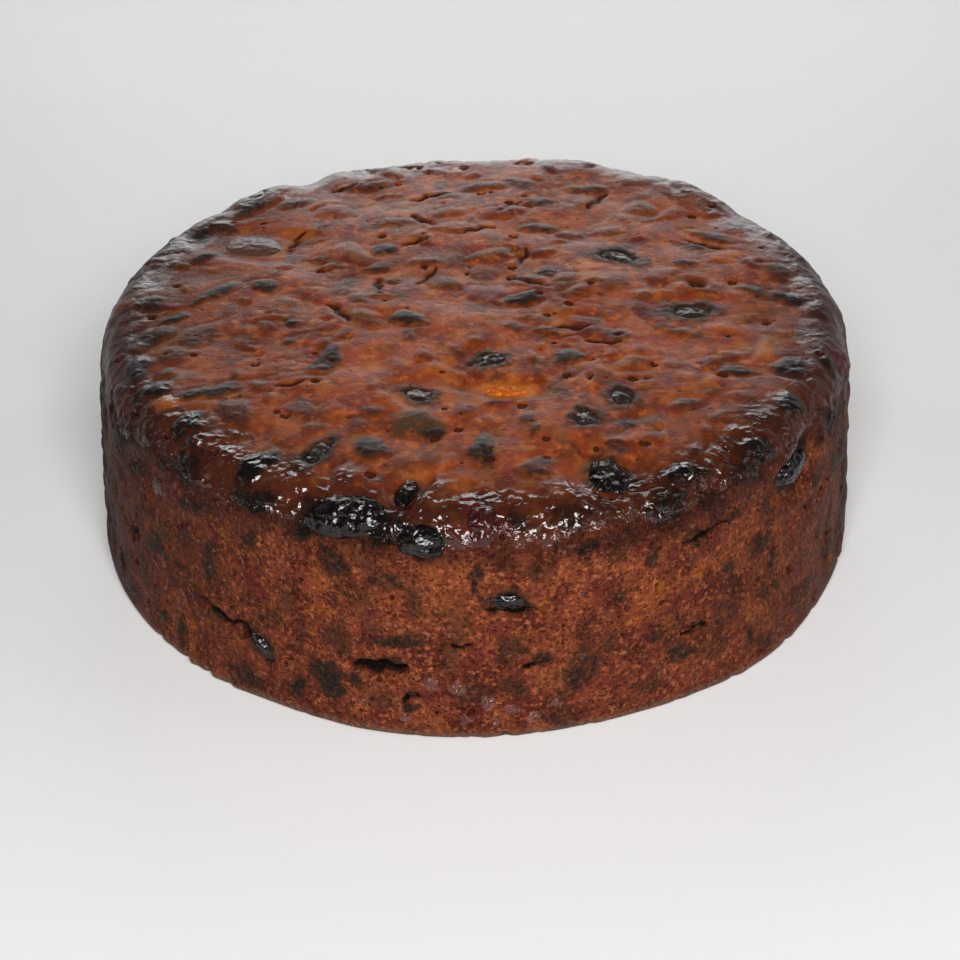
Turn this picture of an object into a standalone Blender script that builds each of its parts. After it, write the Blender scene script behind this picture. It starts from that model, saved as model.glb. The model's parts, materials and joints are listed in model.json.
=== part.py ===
"""A whole, uncut round fruit cake, with the pieces of fruit that break through its skin.

The cake stands on the XY plane with its base's centre at the origin. Its front is -Y.
A place on the skin is an azimuth, in degrees from the front and rising towards +X, and a run, the
distance over the skin from the middle of the top, across the shoulder and down the side.
"""

import math

import bmesh
import bpy
from mathutils import Matrix, Vector, noise

MM = 0.001

# The baked body, turned in a round tin that is 203 mm across and lined with paper.
BASE_RADIUS = 100.4 * MM
WAIST_RADIUS = 99.5 * MM
SHOULDER_RADIUS = 97.9 * MM
SHOULDER_ROUND = 9.6 * MM
SHOULDER_HEIGHT = 61.5 * MM
DOME_RISE = 2.5 * MM
FOOT_ROUND = 1.8 * MM
TOP_REACH = SHOULDER_RADIUS - SHOULDER_ROUND
SHOULDER_LENGTH = SHOULDER_ROUND * math.pi / 2
SIDE_HEIGHT = SHOULDER_HEIGHT - SHOULDER_ROUND

# How many stations the turned profile and the turning have.
TURN_STEPS = 72
TOP_STATIONS = 9
SHOULDER_STATIONS = 4
SIDE_STATIONS = 7
FOOT_STATIONS = 2

# Unevenness of the skin: broad waves, and lumps where fruit lies just below.
WAVE_SIZE = 30 * MM
WAVE_HEIGHT = 1.0 * MM
LUMP_SIZE = 12 * MM
LUMP_HEIGHT = 1.1 * MM
PRESSED_SHARE = 0.35

# Places where the batter rose or was held back: azimuth, run, reach, rise.
SWELLINGS = {
    "back_left_bump": (-137, 93, 11, 0.8),
    "back_left_notch": (-149, 93, 9, -1.2),
    "back_hollow": (-176, 93, 30, -1.2),
    "back_rise": (160, 93, 16, 1.2),
    "back_right_bump": (140, 93, 24, 2.0),
    "right_rise": (110, 97, 28, 0.7),
    "left_rise": (-98, 100, 30, 0.7),
    "front_foot": (-8, 152, 48, 1.2),
    "right_foot": (46, 150, 34, 1.2),
}

# A piece of fruit: rings and sides of its ball, the clearance of its pocket, depth of its wrinkles.
FRUIT_SIDES = 12
FRUIT_RINGS = 7
POCKET_GAP = 0.3 * MM
WRINKLE_DEPTH = 0.05
WRINKLES_ROUND = 5

BATTER_COLOUR = (0.22, 0.062, 0.022, 1)
RAISIN_COLOUR = (0.022, 0.014, 0.012, 1)
CHERRY_COLOUR = (0.36, 0.05, 0.02, 1)
SULTANA_COLOUR = (0.16, 0.085, 0.055, 1)
PEEL_COLOUR = (0.60, 0.19, 0.03, 1)

# name: azimuth, run, length, width, thickness, turn on the skin, share that stands proud.
FRUIT = {
    "raisin_rim_left": (-19, 96.0, 22, 12, 9, 8, 0.18),
    "raisin_rim_mid": (-7.5, 100.5, 13.5, 9, 8, 0, 0.18),
    "raisin_rim_upright": (-11, 84.5, 12, 6, 6, 85, 0.15),
    "cherry_rim_front": (1, 95.0, 12.5, 12, 8, 0, 0.12),
    "raisin_rim_right": (22.5, 83.0, 16, 12, 8, 80, 0.14),
    "raisin_rim_far": (54, 107.0, 16, 9, 8, 5, 0.08),
    "cherry_side_left": (-53, 109.0, 10, 8, 7, 80, 0.10),
    "raisin_top_streak": (-29, 78.0, 17, 9, 7, 85, 0.10),
    "raisin_top_left": (-17.5, 46.0, 12, 9, 6, 0, 0.12),
    "raisin_top_mid": (8, 28.5, 13, 9, 6, 30, 0.10),
    "raisin_top_right": (39, 58.0, 13, 9, 6, 85, 0.10),
    "raisin_top_near": (26, 61.5, 12, 9, 6, 60, 0.10),
    "raisin_top_far": (124, 47.0, 18, 10, 6, 22, 0.10),
    "raisin_top_plum": (87, 57.0, 17, 12, 8, 93, 0.10),
    "sultana_top_disc": (-122, 71.0, 21, 15, 6, -78, 0.12),
    "peel_top": (11, 41.5, 15, 7, 5, -11, 0.08),
    "raisin_side_front": (4.5, 116.0, 13, 7, 6, 0, 0.14),
    "raisin_side_low": (-32, 139.0, 12, 6, 6, -45, 0.05),
    "raisin_back_rim": (-138, 92.0, 14, 9, 7, 15, 0.12),
    "raisin_back_side": (170, 125.0, 13, 9, 6, 5, 0.10),
}


def clear_scene():
    for thing in list(bpy.data.objects):
        bpy.data.objects.remove(thing)


def collection(name):
    made = bpy.data.collections.new(name)
    bpy.context.scene.collection.children.link(made)
    return made


def material(name, colour, roughness):
    made = bpy.data.materials.new(name)
    made.use_nodes = True
    shader = made.node_tree.nodes["Principled BSDF"]
    shader.inputs["Base Color"].default_value = colour
    shader.inputs["Roughness"].default_value = roughness
    shader.inputs["Metallic"].default_value = 0.0
    return made


def side_radius(height):
    """The barrel of the side: a parabola through the base, the waist and the shoulder."""
    t = height / SIDE_HEIGHT
    return (
        BASE_RADIUS * (1 - t) * (1 - 2 * t)
        + 4 * WAIST_RADIUS * t * (1 - t)
        + SHOULDER_RADIUS * t * (2 * t - 1)
    )


def profile_at(run):
    """Radius and height of the turned profile at a distance over the skin from the top's middle."""
    if run <= TOP_REACH:
        return run, SHOULDER_HEIGHT + DOME_RISE * (1 - (run / TOP_REACH) ** 2)
    if run <= TOP_REACH + SHOULDER_LENGTH:
        angle = (run - TOP_REACH) / SHOULDER_ROUND
        radius = TOP_REACH + SHOULDER_ROUND * math.sin(angle)
        return radius, SIDE_HEIGHT + SHOULDER_ROUND * math.cos(angle)
    height = max(0.0, SIDE_HEIGHT - (run - TOP_REACH - SHOULDER_LENGTH))
    return side_radius(height), height


def turned_point(azimuth, run):
    radius, height = profile_at(run)
    return Vector((radius * math.sin(azimuth), -radius * math.cos(azimuth), height))


def turned_normal(azimuth, run):
    step = 0.5 * MM
    radius_before, height_before = profile_at(run - step if run > step else 0.0)
    radius_after, height_after = profile_at(run + step)
    out = height_before - height_after
    up = radius_after - radius_before
    normal = Vector((out * math.sin(azimuth), -out * math.cos(azimuth), up))
    return normal.normalized()


def swelling(point):
    total = 0.0
    for azimuth, run, reach, rise in SWELLINGS.values():
        distance = (point - turned_point(math.radians(azimuth), run * MM)).length
        total += rise * MM * max(0.0, 1 - (distance / (reach * MM)) ** 2) ** 2
    return total


def unevenness(point):
    """How far the baked skin stands out from the turned form at a point of it."""
    wave = WAVE_HEIGHT * noise.noise(point / WAVE_SIZE)
    lump = LUMP_HEIGHT * noise.noise(point / LUMP_SIZE + Vector((7, 3, 5)))
    freedom = min(1.0, max(0.0, (point.z - SIDE_HEIGHT * 0.8) / (SIDE_HEIGHT * 0.3)))
    freedom = PRESSED_SHARE + (1 - PRESSED_SHARE) * freedom
    return freedom * (wave + lump) + swelling(point)


def profile_points():
    """Runs of the profile's stations as points, from the top's middle down to the base's middle."""
    top = [TOP_REACH * i / TOP_STATIONS for i in range(TOP_STATIONS)]
    shoulder = [TOP_REACH + SHOULDER_LENGTH * i / SHOULDER_STATIONS for i in range(SHOULDER_STATIONS)]
    side_start = TOP_REACH + SHOULDER_LENGTH
    side_length = SIDE_HEIGHT - FOOT_ROUND
    side = [side_start + side_length * i / SIDE_STATIONS for i in range(SIDE_STATIONS)]
    points = [profile_at(run) for run in top + shoulder + side]
    for i in range(FOOT_STATIONS + 1):
        angle = math.pi / 2 * i / FOOT_STATIONS
        radius = BASE_RADIUS - FOOT_ROUND * (1 - math.cos(angle))
        points.append((radius, FOOT_ROUND * (1 - math.sin(angle))))
    points.append((BASE_RADIUS * 0.5, 0.0))
    points.append((0.0, 0.0))
    return points


def turned_body(home):
    """The plain turned cake: a profile spun about Z by a Screw modifier."""
    mesh = bpy.data.meshes.new("cake_profile")
    points = [(radius, 0.0, height) for radius, height in profile_points()]
    mesh.from_pydata(points, [(i, i + 1) for i in range(len(points) - 1)], [])
    body = bpy.data.objects.new("cake_profile", mesh)
    home.objects.link(body)
    screw = body.modifiers.new("turn", "SCREW")
    screw.axis = "Z"
    screw.steps = screw.render_steps = TURN_STEPS
    screw.use_merge_vertices = True
    screw.merge_threshold = 0.00001
    return body


def baked(body, name, home):
    """A real mesh of an object as its modifiers leave it, with the object itself removed."""
    bpy.context.view_layer.update()
    graph = bpy.context.evaluated_depsgraph_get()
    mesh = bpy.data.meshes.new_from_object(body.evaluated_get(graph))
    mesh.name = name
    made = bpy.data.objects.new(name, mesh)
    made.matrix_world = body.matrix_world
    home.objects.link(made)
    bpy.data.objects.remove(body)
    return made


def make_uneven(cake):
    """Moves the skin out and in by its unevenness, and leaves the flat base flat."""
    shape = bmesh.new()
    shape.from_mesh(cake.data)
    bmesh.ops.remove_doubles(shape, verts=shape.verts, dist=0.00001)
    shape.normal_update()
    moved = []
    for vertex in shape.verts:
        shift = vertex.normal * unevenness(vertex.co)
        shift.z *= min(1.0, vertex.co.z / (4 * FOOT_ROUND))
        shift *= min(1.0, math.hypot(vertex.co.x, vertex.co.y) / TOP_REACH + vertex.co.z / SIDE_HEIGHT)
        moved.append((vertex, shift))
    for vertex, shift in moved:
        vertex.co += shift
    shape.to_mesh(cake.data)
    shape.free()


def skin_frame(azimuth, run, turn):
    """Where a piece of fruit lies: X along it, Y across it and Z out of the skin."""
    point = turned_point(azimuth, run)
    normal = turned_normal(azimuth, run)
    point += normal * unevenness(point)
    around = Vector((math.cos(azimuth), math.sin(azimuth), 0.0))
    along = Matrix.Rotation(turn, 3, normal) @ around
    across = normal.cross(along)
    frame = Matrix((along, across, normal)).transposed().to_4x4()
    frame.translation = point
    return frame


def fruit_ball(name, size, grow, frame, sunk, home):
    """A dried fruit: a ball squeezed to length, width and thickness, with shallow wrinkles."""
    shape = bmesh.new()
    bmesh.ops.create_uvsphere(shape, u_segments=FRUIT_SIDES, v_segments=FRUIT_RINGS, radius=1.0)
    bmesh.ops.rotate(shape, verts=shape.verts, matrix=Matrix.Rotation(math.pi / 2, 3, "Y"))
    half = [length / 2 + grow for length in size]
    for vertex in shape.verts:
        around = math.atan2(vertex.co.z, vertex.co.y)
        wrinkle = 1 + WRINKLE_DEPTH * math.cos(WRINKLES_ROUND * around + 2 * vertex.co.x)
        vertex.co = Vector((vertex.co.x, vertex.co.y * wrinkle, vertex.co.z * wrinkle))
        vertex.co = Vector(half[i] * vertex.co[i] for i in range(3))
        vertex.co.z -= sunk
    mesh = bpy.data.meshes.new(name)
    shape.to_mesh(mesh)
    shape.free()
    mesh.shade_smooth()
    ball = bpy.data.objects.new(name, mesh)
    ball.matrix_world = frame
    home.objects.link(ball)
    return ball


def cut_pocket(cake, cutter):
    cutter.hide_render = True
    cutter.display_type = "WIRE"
    cut = cake.modifiers.new("pocket_" + cutter.name, "BOOLEAN")
    cut.operation = "DIFFERENCE"
    cut.solver = "EXACT"
    cut.object = cutter


def build():
    clear_scene()
    home = collection("fruit_cake")
    cutters = collection("pockets")
    materials = {
        "batter": material("baked_batter", BATTER_COLOUR, 0.45),
        "raisin": material("dark_raisin", RAISIN_COLOUR, 0.35),
        "cherry": material("glace_cherry", CHERRY_COLOUR, 0.3),
        "sultana": material("pale_sultana", SULTANA_COLOUR, 0.4),
        "peel": material("candied_peel", PEEL_COLOUR, 0.35),
    }
    cake = baked(turned_body(home), "cake", home)
    make_uneven(cake)
    cake.data.materials.clear()
    cake.data.materials.append(materials["batter"])
    cake.data.shade_smooth()
    for name, (azimuth, run, length, width, thickness, turn, proud) in FRUIT.items():
        frame = skin_frame(math.radians(azimuth), run * MM, math.radians(turn))
        size = (length * MM, width * MM, thickness * MM)
        sunk = thickness * MM * (0.5 - proud)
        fruit = fruit_ball(name, size, 0.0, frame, sunk, home)
        fruit.data.materials.append(materials[name.split("_")[0]])
        cut_pocket(cake, fruit_ball("around_" + name, size, POCKET_GAP, frame, sunk, cutters))


build()
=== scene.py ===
# %% [markdown]
# # A dark fruit cake, whole and uncut
#
# A rich fruit cake is a round block of sticky, dark brown batter, crammed with raisins, cherries and
# candied peel. It rises in a tin, so its side is a pressed, porous wall, while its top is a domed skin
# that baked to a gloss. The lesson takes the cake in that order: the frame it must fit, the camera and
# light, the turned body, the fruit under its skin, the tears and pores, the finishes, and at last the
# fruit that breaks through. Sizes are in millimetres and become metres where a mesh is made.

import json
import math

import bmesh
import bpy
import numpy as np
from mathutils import Matrix, Vector, noise

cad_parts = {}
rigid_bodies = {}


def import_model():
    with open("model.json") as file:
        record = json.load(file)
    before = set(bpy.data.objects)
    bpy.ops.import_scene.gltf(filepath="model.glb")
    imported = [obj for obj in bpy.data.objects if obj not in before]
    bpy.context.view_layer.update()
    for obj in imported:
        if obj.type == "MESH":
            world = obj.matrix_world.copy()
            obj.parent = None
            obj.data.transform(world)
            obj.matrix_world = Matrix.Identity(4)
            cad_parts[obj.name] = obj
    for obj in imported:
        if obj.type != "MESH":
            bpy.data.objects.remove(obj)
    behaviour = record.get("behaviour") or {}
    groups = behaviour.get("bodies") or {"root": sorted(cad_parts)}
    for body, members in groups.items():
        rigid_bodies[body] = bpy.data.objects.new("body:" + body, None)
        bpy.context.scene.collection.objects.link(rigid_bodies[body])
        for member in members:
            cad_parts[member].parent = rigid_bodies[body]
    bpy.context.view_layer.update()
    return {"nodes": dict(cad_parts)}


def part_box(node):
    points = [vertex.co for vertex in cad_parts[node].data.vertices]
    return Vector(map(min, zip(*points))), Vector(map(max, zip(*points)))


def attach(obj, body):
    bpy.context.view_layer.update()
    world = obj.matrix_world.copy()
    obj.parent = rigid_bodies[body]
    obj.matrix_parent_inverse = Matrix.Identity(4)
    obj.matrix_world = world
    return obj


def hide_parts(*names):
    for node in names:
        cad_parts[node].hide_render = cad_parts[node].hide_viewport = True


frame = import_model()
low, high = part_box("cake")
MM = 0.001
print("frame:", len(frame["nodes"]), "nodes; cake is", [round(side / MM, 1) for side in high - low], "mm")

# %% [markdown]
# ## Camera
#
# The cake is seen from the front and from above, as by someone who stands at the table. A long lens
# keeps the near rim and the far rim almost the same width, which is why the ellipse of the top looks
# so calm. The camera's axes are built from its downward tilt and a slight roll, so no empty is needed
# as a target.

# %% Place the camera
CAMERA_PLACE = Vector((1.2, -585.8, 394.4)) * MM
CAMERA_TILT = math.radians(33.36)
CAMERA_ROLL = math.radians(-0.65)

camera = bpy.data.objects.new("camera", bpy.data.cameras.new("camera"))
bpy.context.scene.collection.objects.link(camera)
camera.data.lens = 96.3
camera.data.sensor_width = 36
camera.data.clip_start = 0.02
level = Vector((1, 0, 0))
upright = Vector((0, math.sin(CAMERA_TILT), math.cos(CAMERA_TILT)))
across = math.cos(CAMERA_ROLL) * level + math.sin(CAMERA_ROLL) * upright
upward = math.cos(CAMERA_ROLL) * upright - math.sin(CAMERA_ROLL) * level
axes = Matrix((across, upward, across.cross(upward))).transposed().to_4x4()
camera.matrix_world = Matrix.Translation(CAMERA_PLACE) @ axes
bpy.context.scene.camera = camera
print("camera is", round(CAMERA_PLACE.length / MM), "mm from the base's centre")

# %% [markdown]
# ## Stage and light
#
# A glossy dark thing is lit by what it mirrors more than by its own colour. The set is a pale table
# that curves up into a pale wall. A white card behind the cake, which the camera doesn't see, lays a
# grey veil over the far half of the top. A soft lamp above and behind the camera breaks into sparks on
# the sticky front rim, a window on the right fills the side, and two lamps brighten the table behind
# the cake. Flat colours are enough here, because the stage isn't part of the cake.

# %% Build the table and the wall
STAGE_WIDTH = 4.0
STAGE_FRONT = -1.6
WALL_PLACE = 0.95
WALL_HEIGHT = 0.62
WALL_BEND = 0.2


def plain_material(name, colour, roughness):
    """A single even finish, for what stands around the cake."""
    made = bpy.data.materials.new(name)
    made.use_nodes = True
    shader = made.node_tree.nodes["Principled BSDF"]
    shader.inputs["Base Color"].default_value = colour
    shader.inputs["Roughness"].default_value = roughness
    return made


def sweep_points():
    """The stage's outline from the front edge, along the table and up the wall."""
    outline = [(STAGE_FRONT, 0.0)]
    for i in range(13):
        turn = math.pi / 2 * i / 12
        back, up = WALL_BEND * math.sin(turn), WALL_BEND * (1 - math.cos(turn))
        outline.append((WALL_PLACE - WALL_BEND + back, up))
    outline.append((WALL_PLACE, WALL_HEIGHT))
    return outline


backdrop_mesh = bpy.data.meshes.new("backdrop")
outline = sweep_points()
corners = [(side * STAGE_WIDTH / 2, y, z - 0.0002) for y, z in outline for side in (-1, 1)]
strips = [(2 * i, 2 * i + 1, 2 * i + 3, 2 * i + 2) for i in range(len(outline) - 1)]
backdrop_mesh.from_pydata(corners, [], strips)
backdrop_mesh.shade_smooth()
backdrop = bpy.data.objects.new("backdrop", backdrop_mesh)
bpy.context.scene.collection.objects.link(backdrop)
backdrop_mesh.materials.append(plain_material("pale_paper", (0.85, 0.85, 0.85, 1), 0.9))
print("stage of", len(strips), "strips")

# %% Hang the lamps


def soft_lamp(name, place, aim, width, height, power, warmth):
    """A rectangular soft box that faces a point."""
    data = bpy.data.lights.new(name, "AREA")
    data.shape = "RECTANGLE"
    data.size, data.size_y = width, height
    data.energy = power
    data.color = warmth
    lamp = bpy.data.objects.new(name, data)
    bpy.context.scene.collection.objects.link(lamp)
    lamp.location = place
    lamp.rotation_euler = (Vector(aim) - Vector(place)).to_track_quat("-Z", "Y").to_euler()
    return lamp


CAKE_MIDDLE = (0.0, 0.0, 0.03)
FAR_TOP = (0.0, 0.03, 0.064)
BACK_FLOOR = (0.0, 0.42, 0.0)
CARD_SPREAD = math.radians(60)
FLOOR_SPREAD = math.radians(42)
DAYLIGHT = (0.97, 0.985, 1)
soft_lamp("front_lamp", (0.03, -0.85, 0.67), CAKE_MIDDLE, 0.54, 0.30, 12.5, (1, 0.985, 0.975))
soft_lamp("right_window", (1.25, -0.25, 0.75), CAKE_MIDDLE, 0.6, 0.6, 1.6, DAYLIGHT)
for side in (-1, 1):
    corner = (0.95 * side, 0.60, 0.50)
    floor_lamp = soft_lamp("back_floor_lamp", corner, BACK_FLOOR, 0.3, 0.2, 0.30, (1, 1, 1))
    floor_lamp.data.spread = FLOOR_SPREAD
card = soft_lamp("white_card", (0.0, 0.42, 0.15), FAR_TOP, 0.40, 0.24, 0.108, (0.98, 0.99, 1.0))
card.data.spread = CARD_SPREAD
card.visible_camera = False
world = bpy.data.worlds.new("room")
bpy.context.scene.world = world
world.use_nodes = True
world.node_tree.nodes["Background"].inputs["Color"].default_value = (0.96, 0.98, 1.0, 1)
world.node_tree.nodes["Background"].inputs["Strength"].default_value = 0.055
bpy.context.scene.view_settings.view_transform = "Standard"

# %% [markdown]
# ## The turned body
#
# A cake baked in a round tin is a turned shape: a domed top, a rounded shoulder and a slightly
# barrelled wall. Turning a profile with many steps would crowd thousands of thin slivers at the
# middle of the top, just where the skin needs an even mesh for its relief. So the top is a square
# grid pressed into a disk, in which every cell keeps nearly the same area, and its outer edge goes
# over the shoulder and down the wall as rings.
#
# A place on the skin is an azimuth, counted from the front (-Y) towards +X, and a run, the distance
# over the skin from the middle of the top.

# %% The profile
BASE_RADIUS = 100.4
WAIST_RADIUS = 99.5
SHOULDER_RADIUS = 97.9
SHOULDER_ROUND = 9.6
SHOULDER_HEIGHT = 61.5
DOME_RISE = 2.5
FOOT_ROUND = 1.8
TOP_REACH = SHOULDER_RADIUS - SHOULDER_ROUND
SIDE_HEIGHT = SHOULDER_HEIGHT - SHOULDER_ROUND
SIDE_START = TOP_REACH + SHOULDER_ROUND * math.pi / 2
FOOT_START = SIDE_START + SIDE_HEIGHT - FOOT_ROUND


def side_radius(height):
    """The barrel of the side: a parabola through the base, the waist and the shoulder."""
    t = height / SIDE_HEIGHT
    base = BASE_RADIUS * (1 - t) * (1 - 2 * t)
    return base + 4 * WAIST_RADIUS * t * (1 - t) + SHOULDER_RADIUS * t * (2 * t - 1)


def profile_at(run):
    """Radius and height of the profile, for an array of runs."""
    run = np.asarray(run, float)
    around = (np.clip(run, TOP_REACH, SIDE_START) - TOP_REACH) / SHOULDER_ROUND
    height = SHOULDER_HEIGHT + DOME_RISE * (1 - (np.minimum(run, TOP_REACH) / TOP_REACH) ** 2)
    height = np.where(run > TOP_REACH, SIDE_HEIGHT + SHOULDER_ROUND * np.cos(around), height)
    height = np.where(run > SIDE_START, SIDE_HEIGHT - (run - SIDE_START), height)
    height = np.maximum(height, 0.0)
    radius = np.where(run > TOP_REACH, TOP_REACH + SHOULDER_ROUND * np.sin(around), run)
    return np.where(run > SIDE_START, side_radius(height), radius), height


def turned(azimuth, run):
    """Points and outward normals of the turned form, in millimetres."""
    radius, height = profile_at(run)
    before = profile_at(np.maximum(run - 0.5, 0))
    after = profile_at(run + 0.5)
    out, up = before[1] - after[1], after[0] - before[0]
    out = np.where(run > FOOT_START, 1.0, out)
    up = np.where(run > FOOT_START, 0.0, up)
    sine, cosine = np.sin(azimuth), np.cos(azimuth)
    points = np.stack([radius * sine, -radius * cosine, height], -1)
    normals = np.stack([out * sine, -out * cosine, up], -1)
    return points, normals / np.linalg.norm(normals, axis=-1, keepdims=True)


print("runs to the shoulder, side and foot:", [round(end, 1) for end in (TOP_REACH, SIDE_START, FOOT_START)])

# %% The grid over the top and the rings down the side
TOP_CELLS = 186
SIDE_ROWS = 82
FOOT_ROWS = 3
FOOT_INSET = 5.0


def disk_grid(cells):
    """Azimuths and runs of a square grid pressed into a disk without crowding at the middle."""
    ticks = np.linspace(-1, 1, cells + 1)
    a, b = np.meshgrid(ticks, ticks)
    wide = np.abs(a) > np.abs(b)
    a_safe, b_safe = np.where(wide, a, 1.0), np.where(b == 0, 1.0, b)
    turn = np.where(wide, math.pi / 4 * b / a_safe, math.pi / 2 - math.pi / 4 * a / b_safe)
    reach = np.where(wide, a, b)
    x, y = reach * np.cos(turn), reach * np.sin(turn)
    return np.arctan2(x, -y).ravel(), (np.hypot(x, y) * TOP_REACH).ravel()


def edge_loop(cells):
    """Indices of the grid's outer points, in order round the disk."""
    row = cells + 1
    front = list(range(cells))
    right = [i * row + cells for i in range(cells)]
    back = [cells * row + j for j in range(cells, 0, -1)]
    left = [i * row for i in range(cells, 0, -1)]
    return front + right + back + left


top_azimuth, top_run = disk_grid(TOP_CELLS)
rim = edge_loop(TOP_CELLS)
side_runs = np.linspace(TOP_REACH, FOOT_START, SIDE_ROWS + 1)[1:]
azimuth = np.concatenate([top_azimuth] + [top_azimuth[rim]] * SIDE_ROWS)
run = np.concatenate([top_run, np.repeat(side_runs, len(rim))])
skin, skin_normal = turned(azimuth, run)
print("skin points:", len(skin), "columns round the side:", len(rim))

# %% [markdown]
# ## Uneven baking
#
# The batter rises in broad waves, and large fruit lifts it into lumps. The wall is pressed flat by the
# tin, so it keeps only a third of that. A few places rose or stuck more than the rest, and they give
# the far rim its own outline. The waves and swellings are those of the solid model, and the lumps are
# a little lower than its own, because here the buried fruit adds its relief to them.

# %% Waves, lumps and swellings
WAVE_SIZE, WAVE_HEIGHT = 30, 1.0
LUMP_SIZE, LUMP_HEIGHT = 12, 0.8
PRESSED_SHARE = 0.35

# azimuth, run, reach, rise
SWELLINGS = {
    "back_left_bump": (-137, 93, 11, 0.8),
    "back_left_notch": (-149, 93, 9, -1.2),
    "back_hollow": (-176, 93, 30, -1.2),
    "back_rise": (160, 93, 16, 1.2),
    "back_right_bump": (140, 93, 24, 2.0),
    "right_rise": (110, 97, 28, 0.7),
    "left_rise": (-98, 100, 30, 0.7),
    "front_foot": (-8, 152, 48, 1.2),
    "right_foot": (46, 150, 34, 1.2),
}


def noise_at(points, size, shift=(0, 0, 0)):
    """Smooth noise from -1 to 1 at points, with features about one size across."""
    scaled = points / size + np.array(shift)
    return np.array([noise.noise(Vector(point)) for point in scaled])


def unevenness(points):
    """How far the baked skin stands out from the turned form."""
    broad = WAVE_HEIGHT * noise_at(points, WAVE_SIZE) + LUMP_HEIGHT * noise_at(points, LUMP_SIZE, (7, 3, 5))
    freedom = np.clip((points[:, 2] - SIDE_HEIGHT * 0.8) / (SIDE_HEIGHT * 0.3), 0, 1)
    rise = (PRESSED_SHARE + (1 - PRESSED_SHARE) * freedom) * broad
    for place, distance, reach, height in SWELLINGS.values():
        centre, _ = turned(np.array([math.radians(place)]), np.array([float(distance)]))
        away = np.linalg.norm(points - centre[0], axis=-1)
        rise += height * np.maximum(0, 1 - (away / reach) ** 2) ** 2
    return rise


lift = unevenness(skin)
lift *= np.minimum(1, np.hypot(skin[:, 0], skin[:, 1]) / TOP_REACH + skin[:, 2] / SIDE_HEIGHT)
skin = skin + skin_normal * lift[:, None]
print("unevenness from", round(lift.min(), 2), "to", round(lift.max(), 2), "mm")
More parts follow.
